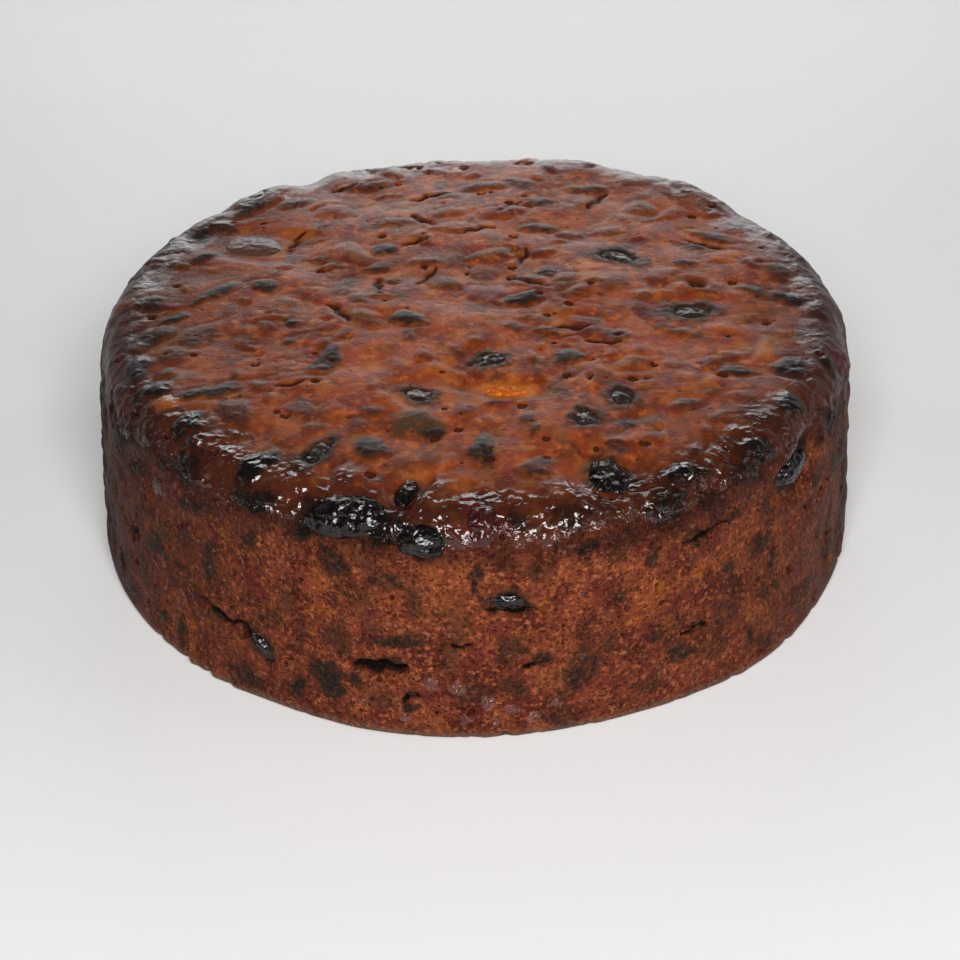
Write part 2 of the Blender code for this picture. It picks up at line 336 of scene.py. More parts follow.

# %% [markdown]
# ## Fruit under the skin
#
# Most of the fruit never breaks through. It shows as a dark, blurred patch with a low swell over it, a
# fold of skin around it and its own wrinkles. The pieces that can be told apart are listed one by one,
# and the rest of the skin gets further ones from a seeded draw that keeps its distance from them.
# Every piece is an oval footprint on the skin, so one function can raise, crease and tint it.

# %% Pieces listed one by one
# kind, x, y, length, width, direction, rise, shade
TOP_FRUIT = (
    ("raisin", -72, 31, 11, 5, 45, 0.5, 0.8), ("raisin", -55, 12, 9, 7, -25, 0.6, 0.9),
    ("raisin", -24, 31, 9, 6, -5, 0.5, 0.85), ("raisin", -25, 21, 8, 6, 0, 0.3, 0.45),
    ("raisin", -13, 23, 10, 5, 5, 0.4, 0.5), ("raisin", 20, 18, 7, 6, 0, 0.3, 0.75),
    ("raisin", 57, 22, 8, 4, 0, 0.3, 0.6), ("raisin", 18, 44, 11, 6, 0, 0.5, 0.55),
    ("raisin", 13, 3, 12, 7, 30, 0.6, 0.75), ("raisin", -17, -8, 12, 6, -25, 0.6, 0.75),
    ("raisin", 83, 5, 12, 6, -40, 0.5, 0.6), ("raisin", 24, -26, 8, 9, 0, 0.5, 0.7),
    ("raisin", 10, -12, 7, 5, 0, 0.2, 0.45), ("raisin", -47, -8, 5, 4, 0, 0.3, 0.75),
    ("raisin", -47, -17, 4, 4, 0, 0.2, 0.55), ("raisin", -37, -27, 14, 9, 75, 0.6, 0.8),
    ("sultana", -14, -57, 15, 12, 10, 0.5, 0.85), ("raisin", -10, -61, 8, 4, 0, 0.3, 0.8),
    ("raisin", 37, -57, 6, 5, 0, 0.3, 0.7), ("raisin", -65, -40, 16, 7, 25, 0.5, 0.8),
    ("raisin", 66, -33, 11, 5, 0, 0.4, 0.85), ("raisin", -25, -67, 11, 10, 60, 0.6, 0.85),
    ("raisin", 2, -69, 13, 8, 85, 0.6, 0.8), ("raisin", -68, 10, 16, 6, 50, 0.5, 0.65),
    ("raisin", -85, 5, 10, 7, 60, 0.5, 0.75), ("raisin", -78, -3, 10, 4, 30, 0.3, 0.8),
    ("cherry", -79, 3, 5, 5, 0, 0.3, 0.8), ("raisin", -83, -12, 16, 8, 60, 0.6, 0.5),
    ("raisin", -71, -12, 16, 9, 40, 0.4, 0.4), ("raisin", -85, -27, 12, 9, 70, 0.6, 0.8),
    ("raisin", -80, -38, 10, 8, 40, 0.5, 0.7), ("peel", -76, -45, 8, 7, 30, 0.4, 0.6),
    ("raisin", -70, -54, 12, 8, 40, 0.6, 0.8), ("raisin", 50, -77, 12, 8, 10, 0.6, 0.8),
    ("raisin", 68, -66, 12, 9, 40, 0.6, 0.7), ("raisin", 80, -30, 12, 8, 70, 0.6, 0.7),
    ("raisin", 78, -47, 10, 8, 50, 0.5, 0.7), ("peel", 74, -22, 12, 6, 80, 0.3, 0.7),
    ("peel", 65, -12, 9, 6, 0, 0.3, 0.5), ("cherry", 66, -25, 9, 5, 0, 0.4, 0.5),
    ("raisin", 48, -5, 15, 9, -50, 0.5, 0.3), ("raisin", 52, -13, 12, 6, -20, 0.4, 0.35),
    ("raisin", 74, 8, 13, 5, -30, 0.4, 0.55), ("peel", 68, 27, 12, 7, 0, 0.4, 0.6),
    ("cherry", 74, 23, 8, 4, -60, 0.4, 0.8), ("raisin", 66, 39, 14, 7, -20, 0.5, 0.5),
    ("raisin", 60, 33, 7, 5, 0, 0.3, 0.6), ("cherry", 45, 34, 6, 6, 0, -0.4, 0.6),
    ("peel", 31, 21, 9, 9, 0, 0.3, 0.55), ("cherry", 30, -11, 13, 9, -30, 0.6, 0.5),
    ("peel", 3, -7, 12, 4, 0, 0.2, 0.4), ("cherry", 4, 5, 12, 13, 90, 0.5, 0.5),
    ("cherry", 8, 53, 13, 9, 20, 0.6, 0.4), ("cherry", -38, 55, 14, 8, 10, 0.5, 0.5),
    ("cherry", -20, 60, 9, 6, 0, 0.3, 0.35), ("raisin", 3, 71, 15, 7, 0, 0.6, 0.45),
    ("raisin", -30, 73, 15, 7, 20, 0.6, 0.45), ("raisin", 18, 60, 12, 6, 10, 0.5, 0.4),
    ("raisin", 32, 68, 14, 6, -10, 0.6, 0.4), ("raisin", -22, 47, 12, 7, 0, 0.5, 0.4),
    ("raisin", -5, 43, 13, 8, 10, 0.5, 0.25), ("raisin", 47, 55, 12, 7, -30, 0.5, 0.35),
    ("raisin", 37, 41, 10, 6, 0, 0.4, 0.3), ("raisin", -45, 38, 8, 5, 10, 0.3, 0.4),
    ("raisin", -50, 62, 12, 7, 35, 0.6, 0.45), ("raisin", -75, 45, 9, 6, 55, 0.5, 0.6),
    ("raisin", -62, 60, 14, 8, 40, 0.6, 0.6), ("cherry", -2, -52, 6, 8, 90, 0.3, 0.7),
    ("peel", -2, -53, 4, 4, 0, 0.2, 0.8), ("cherry", 6, -48, 10, 5, 10, 0.4, 0.9),
    ("peel", -9, -33, 11, 7, -20, 0.4, 0.35), ("raisin", -4, -24, 7, 4, -30, 0.2, 0.35),
    ("raisin", -7, 11, 11, 7, -10, 0.5, 0.35), ("raisin", 5, 27, 14, 7, 10, 0.5, 0.3),
    ("raisin", 28, 6, 10, 7, 40, 0.4, 0.3), ("raisin", 40, -30, 12, 7, 30, 0.4, 0.2),
    ("raisin", -30, 4, 8, 5, -70, 0.3, 0.35), ("raisin", -33, -14, 7, 4, 60, 0.3, 0.4),
    ("raisin", 50, -30, 5, 5, 0, 0.2, 0.3), ("raisin", 82, 18, 11, 7, -60, 0.5, 0.5),
    ("raisin", 15, -76, 12, 8, 20, 0.6, 0.5), ("raisin", -52, -72, 13, 9, 40, 0.7, 0.75),
)

# kind, azimuth, height, length, width, direction, rise, shade
SIDE_FRUIT = (
    ("raisin", -12, 44, 9, 6, 10, 0.3, 0.7), ("raisin", -20, 47, 11, 7, -10, 0.4, 0.75),
    ("raisin", 0, 46, 9, 4, 80, 0.3, 0.8), ("raisin", 25, 45, 7, 5, 80, 0.3, 0.75),
    ("raisin", 8, 47, 9, 6, 0, 0.3, 0.5), ("raisin", 20, 37, 5, 3, 60, 0.2, 0.7),
    ("raisin", -10, 28, 14, 5, 5, 0.3, 0.7), ("raisin", -25, 24, 10, 4, 80, 0.2, 0.5),
    ("raisin", -21, 14, 13, 9, -40, 0.3, 0.9), ("raisin", -12, 21, 10, 5, 0, 0.3, 0.8),
    ("raisin", -26, 8, 6, 5, 60, 0.2, 0.8), ("raisin", 14, 18, 15, 11, 75, 0.4, 0.65),
    ("raisin", 30, 15, 9, 6, 10, 0.3, 0.75), ("raisin", 38, 34, 5, 4, 30, 0.2, 0.7),
    ("raisin", 47, 29, 7, 4, 70, 0.2, 0.75), ("raisin", 45, 22, 5, 4, 0, 0.2, 0.6),
    ("raisin", 42, 11, 8, 3, 85, 0.2, 0.75), ("raisin", -41, 35, 12, 5, 80, 0.3, 0.8),
    ("raisin", -33, 47, 8, 4, 70, 0.2, 0.7), ("raisin", -45, 48, 9, 6, 20, 0.3, 0.7),
    ("raisin", -39, 21, 12, 3, -15, 0.1, 0.8), ("raisin", -48, 8, 10, 3, 85, 0.2, 0.8),
    ("raisin", -65, 50, 12, 8, 60, 0.4, 0.8), ("raisin", 67, 52, 11, 8, 40, 0.4, 0.8),
    ("cherry", 10, 33, 9, 6, 20, 0.3, 0.35), ("peel", -22, 33, 7, 4, 0, 0.2, 0.35),
    ("peel", 22, 28, 8, 4, 10, 0.2, 0.3), ("peel", 33, 37, 6, 4, 30, 0.2, 0.35),
    ("cherry", -6, 14, 7, 5, 0, 0.3, 0.5), ("cherry", 4, 10, 6, 5, 0, 0.4, 0.5),
    ("cherry", -1, 7, 5, 4, 0, 0.4, 0.5), ("raisin", 28, 57, 15, 9, 10, 0.7, 0.75),
    ("raisin", 42, 57, 12, 8, -15, 0.6, 0.7), ("raisin", -33, 57, 14, 8, 10, 0.7, 0.85),
    ("raisin", -46, 57, 13, 9, 0, 0.6, 0.75), ("raisin", 14, 59, 12, 7, -10, 0.6, 0.6),
    ("raisin", -58, 33, 9, 5, 70, 0.3, 0.6), ("raisin", 60, 40, 8, 5, 60, 0.3, 0.6),
    ("raisin", 57, 12, 10, 6, 20, 0.3, 0.5), ("raisin", -57, 18, 10, 6, 70, 0.3, 0.6),
    ("raisin", 66, 24, 9, 5, 75, 0.3, 0.6), ("raisin", -70, 30, 12, 7, 75, 0.4, 0.7),
    ("raisin", -13, 57, 13, 10, 0, 0.9, 1.0), ("raisin", -24, 54, 10, 7, 20, 0.5, 1.0),
)

# The pieces that break through, as in the solid model: azimuth, run, length, width, turn.
BROKEN_THROUGH = {
    "raisin_rim_left": (-19, 96.0, 22, 12, 8),
    "raisin_rim_mid": (-7.5, 100.5, 13.5, 9, 0),
    "raisin_rim_upright": (-11, 84.5, 12, 6, 85),
    "cherry_rim_front": (1, 95.0, 12.5, 12, 0),
    "raisin_rim_right": (22.5, 83.0, 16, 12, 80),
    "raisin_rim_far": (54, 107.0, 16, 9, 5),
    "cherry_side_left": (-53, 109.0, 10, 8, 80),
    "raisin_top_streak": (-29, 78.0, 17, 9, 85),
    "raisin_top_left": (-17.5, 46.0, 12, 9, 0),
    "raisin_top_mid": (8, 28.5, 13, 9, 30),
    "raisin_top_right": (39, 58.0, 13, 9, 85),
    "raisin_top_near": (26, 61.5, 12, 9, 60),
    "raisin_top_far": (124, 47.0, 18, 10, 22),
    "raisin_top_plum": (87, 57.0, 17, 12, 93),
    "sultana_top_disc": (-122, 71.0, 21, 15, -78),
    "peel_top": (11, 41.5, 15, 7, -11),
    "raisin_side_front": (4.5, 116.0, 13, 7, 0),
    "raisin_side_low": (-32, 139.0, 12, 6, -45),
    "raisin_back_rim": (-138, 92.0, 14, 9, 15),
    "raisin_back_side": (170, 125.0, 13, 9, 5),
}


TOP_DEEPEN = 1.35
DEEPEST_SHADE = 0.95


def on_top(kind, x, y, length, width, direction, rise, shade):
    """A top piece's row, as azimuth, run and turn on the skin."""
    place = math.degrees(math.atan2(x, -y))
    if kind == "raisin":
        shade = min(shade * TOP_DEEPEN, DEEPEST_SHADE)
    return kind, place, math.hypot(x, y), length, width, direction - place, rise, shade


def on_side(kind, place, height, length, width, direction, rise, shade):
    """A side piece's row: its height becomes a run, over the shoulder or down the wall."""
    distance = SIDE_START + SIDE_HEIGHT - height
    if height > SIDE_HEIGHT:
        distance = TOP_REACH + SHOULDER_ROUND * math.acos((height - SIDE_HEIGHT) / SHOULDER_ROUND)
    return kind, place, distance, length, width, direction, rise, shade


buried = [on_top(*row) for row in TOP_FRUIT] + [on_side(*row) for row in SIDE_FRUIT]
print("placed by hand:", len(buried), "buried and", len(BROKEN_THROUGH), "broken through")

# %% Pieces drawn for the rest of the skin
DRAW_SEED = 11
DRAW_TRIES = 1500
KINDS = ("raisin",) * 8 + ("cherry", "cherry", "peel", "sultana")
SHADES = {"raisin": (0.3, 0.8), "cherry": (0.2, 0.5), "peel": (0.1, 0.3), "sultana": (0.3, 0.7)}
TOP_SHARE = 0.30
TOP_FADE = 0.8


def piece_centre(place, distance):
    """Where a piece lies on the turned form."""
    return turned(np.array([math.radians(place)]), np.array([float(distance)]))[0][0]


def drawn_pieces(taken):
    """Further pieces at random places that stay clear of all the others."""
    draw = np.random.default_rng(DRAW_SEED)
    centres = [(piece_centre(row[1], row[2]), max(row[3], row[4]) / 2) for row in taken]
    made = []
    for _ in range(DRAW_TRIES):
        place = draw.uniform(-180, 180)
        on_the_top = draw.random() < TOP_SHARE
        distance = TOP_REACH * math.sqrt(draw.random()) if on_the_top else draw.uniform(TOP_REACH, 150)
        length = draw.uniform(5, 13)
        width = length * draw.uniform(0.5, 0.85)
        turn, rise = draw.uniform(0, 180), draw.uniform(0.15, 0.6)
        kind = KINDS[draw.integers(len(KINDS))]
        shade = draw.uniform(*SHADES[kind]) * (TOP_FADE if on_the_top else 1.0)
        centre = piece_centre(place, distance)
        if all(np.linalg.norm(centre - other) > 0.75 * (reach + length / 2) for other, reach in centres):
            centres.append((centre, length / 2))
            made.append((kind, place, distance, length, width, turn, rise, shade))
    return made


through = [
    (name.split("_")[0], place, distance, length, width, turn, 0.0, 1.0)
    for name, (place, distance, length, width, turn) in BROKEN_THROUGH.items()
]
buried += drawn_pieces(buried + through)
print("buried pieces in all:", len(buried))

# %% Footprints on the skin
CREASE_REACH = 1.09
CREASE_WIDTH = 0.11
CREASE_SHARE = 0.45
PEEL_FADE = 0.65


def skin_axes(place, distance, turn):
    """The place of a piece, with the directions along it, across it and out of the skin."""
    centre, normal = turned(np.array([math.radians(place)]), np.array([float(distance)]))
    normal = normal[0]
    around = np.array([math.cos(math.radians(place)), math.sin(math.radians(place)), 0.0])
    beside = np.cross(normal, around)
    turn = math.radians(turn)
    along = math.cos(turn) * around + math.sin(turn) * beside
    return centre[0], along, np.cross(normal, along), normal


def smooth(low_end, high_end, value):
    """An even step from 0 to 1 between two ends, in either order."""
    t = np.clip((value - low_end) / (high_end - low_end), 0, 1)
    return t * t * (3 - 2 * t)


ragged = 0.20 * noise_at(skin, 3.2, (1, 5, 2)) + 0.14 * noise_at(skin, 1.7, (4, 1, 9))
ragged *= 1 + 0.9 * smooth(TOP_REACH, SIDE_START + 6, run)


def footprint(chosen, row, wobble):
    """How far chosen skin points are from a piece's middle, where 1 is its outline."""
    _, place, distance, length, width, turn, _, _ = row
    centre, along, over, normal = skin_axes(place, distance, turn)
    offset = skin[chosen] - centre
    u, v = offset @ along / (length / 2), offset @ over / (width / 2)
    angle = np.arctan2(v, u)
    outline = 1 + 0.13 * np.cos(2 * angle + wobble) + 0.09 * np.cos(3 * angle - 2 * wobble)
    outline += 0.06 * np.cos(5 * angle + 3 * wobble)
    reach = np.hypot(u, v) / outline
    return np.where(np.abs(offset @ normal) < length, reach, 9.0), u * length / 2, v * width / 2


def near(row):
    """Indices of the skin's points close enough to a piece to feel it."""
    centre = piece_centre(row[1], row[2])
    away = skin - centre
    return np.nonzero(np.einsum("ij,ij->i", away, away) < (max(row[3], row[4]) + 1) ** 2)[0]


relief = np.zeros(len(skin))
masks = {kind: np.zeros(len(skin)) for kind in ("raisin", "cherry", "peel", "sultana")}
for number, row in enumerate(buried):
    close = near(row)
    reach, u, v = footprint(close, row, 1.7 * number)
    dome = smooth(1.1, 0.3, reach)
    crease = np.exp(-(((reach - CREASE_REACH) / CREASE_WIDTH) ** 2))
    folds = np.cos(2.4 * v + 1.3 * np.sin(0.9 * u + number)) * smooth(1.0, 0.6, reach)
    relief[close] += row[6] * (dome - CREASE_SHARE * crease) + 0.10 * folds * row[7]
    inside = smooth(1.2, 0.5, reach + ragged[close]) * row[7] * (PEEL_FADE if row[0] == "peel" else 1.0)
    masks[row[0]][close] = np.maximum(masks[row[0]][close], inside)
print("relief from", round(relief.min(), 2), "to", round(relief.max(), 2), "mm")

# %% Lips round the pieces that break through
LIP_RISE = 0.10
LIP_REACH, LIP_WIDTH = 0.82, 0.16
BED_DEPTH = 1.6
BED_SHADE = {"raisin": 0.85, "cherry": 0.3, "peel": 1.0, "sultana": 0.15}
PROUD = {"raisin": 0.9, "cherry": 1.1, "peel": 1.5, "sultana": 1.5}
RIM_PROUD = {"raisin": 2.9, "cherry": 1.3}


def crown_of(name, row):
    """How far a solid piece's crown stands out from the turned form."""
    centre, _, _, normal = skin_axes(row[1], row[2], row[5])
    corners = frame["nodes"][name].data.vertices
    return max(float(np.dot(np.array(corner.co) / MM - centre, normal)) for corner in corners)


for number, (name, row) in enumerate(zip(BROKEN_THROUGH, through)):
    close = near(row)
    reach, _, _ = footprint(close, row, 0.9 * number)
    level = crown_of(name, row) - (RIM_PROUD if "_rim_" in name else PROUD)[row[0]]
    settle = smooth(1.9, 1.05, reach)
    relief[close] = relief[close] * (1 - settle) + (level - lift[close]) * settle
    relief[close] += LIP_RISE * np.exp(-(((reach - LIP_REACH) / LIP_WIDTH) ** 2))
    relief[close] -= BED_DEPTH * smooth(0.60, 0.30, reach)
    ring = BED_SHADE[row[0]] * smooth(1.30, 0.6, reach + ragged[close])
    masks[row[0]][close] = np.maximum(masks[row[0]][close], ring)
print("beds for", len(through), "pieces")

# %% [markdown]
# ## Cracks, cavities and the marks of the lining paper
#
# Where the dried fruit shrank or the batter tore, the cake has open slits, whose dark insides are
# painted shade. On the top the skin only folds, so its cracks are thin and follow the swells, and
# their dark lines are painted shade too. Near the foot the lining paper was creased, and each crease
# left a shallow upright furrow. A few drops of syrup boiled out there and set in blisters. A crack and
# a slit are the same thing at two depths: a short bent line, and every point of the skin sinks by how
# near it is to that line.

# %% Tears
# azimuth, run, length, width, depth, direction, bend
TOP_CRACKS = (
    (-112, 27, 13, 1.3, 0.9, 28, 0.25), (-140, 19, 11, 1.2, 0.8, -160, 0.2),
    (131, 19, 13, 1.4, 1.0, 20, -0.2), (153, 30, 9, 1.2, 0.9, -80, 0.1), (-85, 35, 12, 1.6, 1.1, 25, 0.2),
    (100, 60, 5, 3.6, 2.4, -20, 0), (150, 70, 12, 1.3, 0.9, -90, 0.2), (-164, 50, 11, 1.4, 0.9, -60, -0.2),
    (60, 38, 10, 1.5, 0.8, -75, 0.2), (66, 28, 9, 1.4, 0.8, -70, 0.2), (-170, 66, 14, 1.3, 0.9, 10, 0.15),
    (-155, 80, 16, 1.3, 0.8, 5, 0.1), (170, 57, 10, 1.2, 0.8, 60, 0.3), (178, 42, 11, 1.2, 0.9, 30, 0.3),
    (-155, 38, 8, 1.3, 0.9, 0, 0.2), (-128, 62, 12, 1.2, 0.7, 20, 0.1), (118, 72, 12, 1.3, 0.8, 30, 0.2),
    (-50, 60, 8, 1.3, 0.8, 60, 0.3),
)
SIDE_SLITS = (
    (-13.5, 136.2, 15, 4.0, 3.8, 4, 0.06), (-33, 138.4, 14, 2.6, 2.8, -45, 0.05),
    (-39, 134, 12, 1.6, 1.4, -14, 0.1), (4.5, 118.8, 12, 2.0, 2.2, -6, 0.1), (34, 109, 13, 1.5, 1.8, 8, 0.1),
    (-2, 128.2, 6, 1.3, 1.2, 4, 0.1), (7.5, 134.4, 6, 1.5, 1.4, 10, 0.1), (32, 134.4, 8, 1.2, 1.1, 12, 0.1),
    (-9, 143.4, 5, 2.6, 1.6, 20, 0), (-60, 128, 9, 1.8, 1.6, 60, 0.1), (62, 120, 8, 1.6, 1.4, 30, 0.1),
    (-88, 132, 12, 2.0, 2.0, 10, 0.1), (92, 126, 13, 2.2, 2.2, 8, 0.1), (128, 138, 11, 2.0, 1.9, -20, 0.1),
    (-128, 118, 12, 2.0, 2.0, 6, 0.1), (160, 141, 12, 2.2, 2.2, 10, 0.1), (-165, 132, 14, 2.2, 2.4, -8, 0.1),
    (-110, 143, 9, 1.8, 1.6, 30, 0.1),
)
TEAR_SWAY, TEAR_RAGGED = 0.35, 1.4


def tear(row, number):
    """How far inside one bent line every point of the skin is, and how deep the skin sinks there."""
    place, distance, length, width, depth, direction, bend = row
    centre, along, over, normal = skin_axes(place, distance, direction)
    offset = skin - centre
    u, v = offset @ along, offset @ over
    v = v - bend * (u**2 / length - length / 12) - TEAR_SWAY * np.sin(1.1 * u + number) - TEAR_RAGGED * ragged
    taper = np.maximum(0, 1 - (2 * u / length) ** 2)
    inside = np.exp(-((v / (width / 2 * np.sqrt(taper + 1e-6))) ** 2)) * (taper > 0)
    inside = np.where(np.abs(offset @ normal) < 8, inside, 0.0)
    return inside, depth


CRACK_DEEPEN = 1.1
tears = {"crack": np.zeros(len(skin)), "cavity": np.zeros(len(skin))}
for mark, rows, deepen in (("crack", TOP_CRACKS, CRACK_DEEPEN), ("cavity", SIDE_SLITS, 1.0)):
    for number, row in enumerate(rows):
        inside, depth = tear(row, number)
        relief -= depth * deepen * inside
        tears[mark] = np.maximum(tears[mark], inside)
print("tears:", len(TOP_CRACKS), "on top and", len(SIDE_SLITS), "in the side")

# %% Drops of syrup that boiled out near the foot
# azimuth, height, size
SYRUP_DROPS = (
    (-6.5, 16.5, 4.2), (-2.5, 15.5, 4.4), (1.5, 11, 4.4), (4.5, 9, 4.2), (7.5, 5.5, 3.4), (-10, 5.5, 3.4),
    (-1.5, 6.5, 4), (-9, 12.5, 3), (2.5, 5, 3), (-4.5, 9.5, 2.6), (-16, 9, 2.4), (11, 9, 2.4),
)
DROP_RISE = 0.30
wet = np.zeros(len(skin))
for place, up, size in SYRUP_DROPS:
    away = np.linalg.norm(skin - piece_centre(place, SIDE_START + SIDE_HEIGHT - up), axis=-1)
    away /= size / 2
    dome = np.clip(1 - (away * (1 + 0.8 * ragged)) ** 2, 0, 1)
    relief += DROP_RISE * size / 2 * np.sqrt(dome)
    wet = np.maximum(wet, smooth(0.0, 0.45, dome))
print("drops:", len(SYRUP_DROPS))

# %% Creases of the lining paper
CREASE_SEED = 4
CREASES = 34
PAPER_LIMIT = 16.0
draw = np.random.default_rng(CREASE_SEED)
crease_places = np.concatenate([[-47.0, -42.5, -38.0], draw.uniform(-180, 180, CREASES)])
crease_depths = np.concatenate([[0.9, 1.0, 0.6], draw.uniform(0.15, 0.6, CREASES)])
degrees = np.degrees(azimuth)
height = skin[:, 2]
for place, depth in zip(crease_places, crease_depths):
    away = (degrees - place + 180) % 360 - 180 + 0.06 * (height - 6) * math.sin(place)
    furrow = np.exp(-((away / 0.55) ** 2)) - 0.5 * np.exp(-(((away - 1.5) / 0.9) ** 2))
    relief -= depth * furrow * smooth(PAPER_LIMIT, 4.0, height) * smooth(-1, 1.0, height)
print("creases:", len(crease_places))

# %% [markdown]
# ## From points to a closed mesh
#
# The grid and the rings become faces by counting, not by a modifier, so that the relief can be put in
# beforehand with whole arrays. The foot turns under, the flat base closes the body, and the masks are
# stored on the mesh as named attributes, from which the finish later reads where the fruit lies.

# %% Build the body
KEEP_FLAT_BELOW = 2.5
relief *= smooth(0.0, KEEP_FLAT_BELOW, skin[:, 2])
body_points = skin + skin_normal * relief[:, None]
columns = len(rim)
foot_rings = []
for i in range(1, FOOT_ROWS + 1):
    turn = math.pi / 2 * i / FOOT_ROWS
    ring = body_points[-columns:].copy()
    inward = FOOT_ROUND * (1 - math.cos(turn)) / np.hypot(ring[:, 0], ring[:, 1])
    ring[:, :2] *= (1 - inward)[:, None]
    ring[:, 2] *= 1 - math.sin(turn)
    foot_rings.append(ring)
base_ring = foot_rings[-1].copy()
base_ring[:, :2] *= 1 - FOOT_INSET / BASE_RADIUS
base_ring[:, 2] = 0.0
foot_rings[-1][:, 2] = 0.0
points = np.concatenate([body_points] + foot_rings + [base_ring])
grid_count = (TOP_CELLS + 1) ** 2
loops = [np.array(rim)] + [
    grid_count + np.arange(columns) + columns * i for i in range(SIDE_ROWS + FOOT_ROWS + 1)
]
cell = np.arange(TOP_CELLS)
corner = (cell[:, None] * (TOP_CELLS + 1) + cell[None, :]).ravel()
faces = np.stack([corner, corner + 1, corner + TOP_CELLS + 2, corner + TOP_CELLS + 1], -1).tolist()
for upper, lower in zip(loops[:-1], loops[1:]):
    faces += np.stack([upper, lower, np.roll(lower, -1), np.roll(upper, -1)], -1).tolist()
faces.append(loops[-1].tolist()[::-1])

cake_mesh = bpy.data.meshes.new("baked_cake")
cake_mesh.from_pydata((points * MM).tolist(), [], faces)
extra = len(points) - len(skin)


def store(mesh, name, values):
    """Keeps one number for every point of a mesh under a name."""
    attribute = mesh.attributes.new(name, "FLOAT", "POINT")
    attribute.data.foreach_set("value", np.asarray(values, np.float32))


edge_wander = 3.5 * noise_at(skin, 12, (2, 8, 1)) + 2.5 * noise_at(skin, 4, (2, 2, 1))
glaze = smooth(SIDE_START - 1, SIDE_START - 6, run + edge_wander)
ragged_run = run + 5.0 * noise_at(skin, 7, (3, 3, 8)) + 2.0 * noise_at(skin, 3, (6, 1, 1))
shoulder = smooth(TOP_REACH - 9, TOP_REACH + 3, ragged_run)
shoulder *= smooth(SIDE_START + 7, SIDE_START - 4, ragged_run)
# Painted shade: the batter is made darker towards its left and right edges and, on the glazed skin, towards
# the front edge.
EDGE_SHADE_LEFT, EDGE_SHADE_RIGHT, EDGE_SHADE_FRONT = 0.88, 0.60, 0.22
EDGE_SHADE_LIMIT = 0.88
leftward = np.clip(-skin[:, 0] / BASE_RADIUS, 0, 1) ** 2
rightward = np.clip(skin[:, 0] / BASE_RADIUS, 0, 1) ** 2
forward = np.clip(-skin[:, 1] / BASE_RADIUS, 0, 1) ** 2 * glaze
outward_share = smooth(35, 95, np.hypot(skin[:, 0], skin[:, 1]))
toast = outward_share * (EDGE_SHADE_LEFT * leftward + EDGE_SHADE_RIGHT * rightward + EDGE_SHADE_FRONT * forward)
toast *= 1 + 0.5 * noise_at(skin, 25, (5, 5, 1))
toast = np.clip(toast, 0, EDGE_SHADE_LIMIT)
kept_masks = {**masks, **tears, "glaze": glaze, "shoulder": shoulder, "wet": wet, "toast": toast}
for name, values in kept_masks.items():
    store(cake_mesh, name, np.concatenate([values, np.zeros(extra)]))
check = bmesh.new()
check.from_mesh(cake_mesh)
bmesh.ops.recalc_face_normals(check, faces=check.faces)
closed = all(edge.is_manifold for edge in check.edges)
print("closed:", closed, "volume", round(check.calc_volume() * 1e6), "ml")
check.to_mesh(cake_mesh)
check.free()
cake_mesh.shade_smooth()
cake = bpy.data.objects.new("baked_cake", cake_mesh)
bpy.context.scene.collection.objects.link(cake)

# %% [markdown]
# ## Pores, with Geometry Nodes
#
# Bubbles of steam left hundreds of pores: few and wide in the glossy top, many and small in the side.
# They follow the surface and are all the same rule, so Geometry Nodes makes them. A cell texture gives
# every spot of the skin the distance to its nearest cell's middle, and where that is less than the
# pore's own width the skin sinks. Displacing the real mesh, and not only the light on it, keeps the
# pores in the mesh itself.

# %% Small helpers for building node trees


def put(tree, kind, values=None, **settings):
    """Adds one node to a tree, sets it up and fills or links its inputs."""
    made = tree.nodes.new(kind)
    for name, value in settings.items():
        setattr(made, name, value)
    for key, value in (values or {}).items():
        if isinstance(value, bpy.types.NodeSocket):
            tree.links.new(value, made.inputs[key])
        else:
            made.inputs[key].default_value = value
    return made


def sums(tree, operation, first, second=0.0, third=0.0, clamp=False):
    """One step of arithmetic on numbers or links."""
    values = {0: first, 1: second, 2: third}
    return put(tree, "ShaderNodeMath", values, operation=operation, use_clamp=clamp).outputs[0]


def times(tree, first, second, clamp=False):
    """Two numbers multiplied."""
    return sums(tree, "MULTIPLY", first, second, clamp=clamp)


def minus(tree, first, second):
    """One number less another."""
    return sums(tree, "SUBTRACT", first, second)


def times_plus(tree, value, factor, start, clamp=False):
    """A start plus a number taken a given number of times."""
    return sums(tree, "MULTIPLY_ADD", value, factor, start, clamp)


def ramp_between(tree, value, low_end, high_end):
    """An even step from 0 to 1 between two values, as a node."""
    values = {"Value": value, "From Min": low_end, "From Max": high_end}
    made = put(tree, "ShaderNodeMapRange", values, interpolation_type="SMOOTHSTEP")
    return made.outputs["Result"]


def split(tree, vector):
    """The three numbers of a vector."""
    return put(tree, "ShaderNodeSeparateXYZ", {0: vector}).outputs


def stretched(tree, vector, factor):
    """A vector made longer or shorter."""
    return put(tree, "ShaderNodeVectorMath", {0: vector, "Scale": factor}, operation="SCALE").outputs[0]


def moved_by(tree, vector, step):
    """A vector with another one added."""
    return put(tree, "ShaderNodeVectorMath", {0: vector, 1: step}, operation="ADD").outputs[0]


def scaled_by(tree, vector, size):
    """A vector counted in features of one size."""
    return stretched(tree, vector, sums(tree, "DIVIDE", 1.0, size))


def read_mark(tree, name):
    """A number kept on the mesh, read in Geometry Nodes."""
    return put(tree, "GeometryNodeInputNamedAttribute", {"Name": name}, data_type="FLOAT").outputs[0]


def write_mark(tree, geometry, name, value):
    """Keeps a number on the mesh's points, in Geometry Nodes."""
    values = {"Geometry": geometry, "Name": name, "Value": value}
    return put(tree, "GeometryNodeStoreNamedAttribute", values, data_type="FLOAT", domain="POINT").outputs[0]


def dressed_in(tree, geometry, finish, where=True):
    """Gives a finish to the faces of a geometry, in Geometry Nodes."""
    values = {"Geometry": geometry, "Selection": where, "Material": finish}
    return put(tree, "GeometryNodeSetMaterial", values).outputs[0]


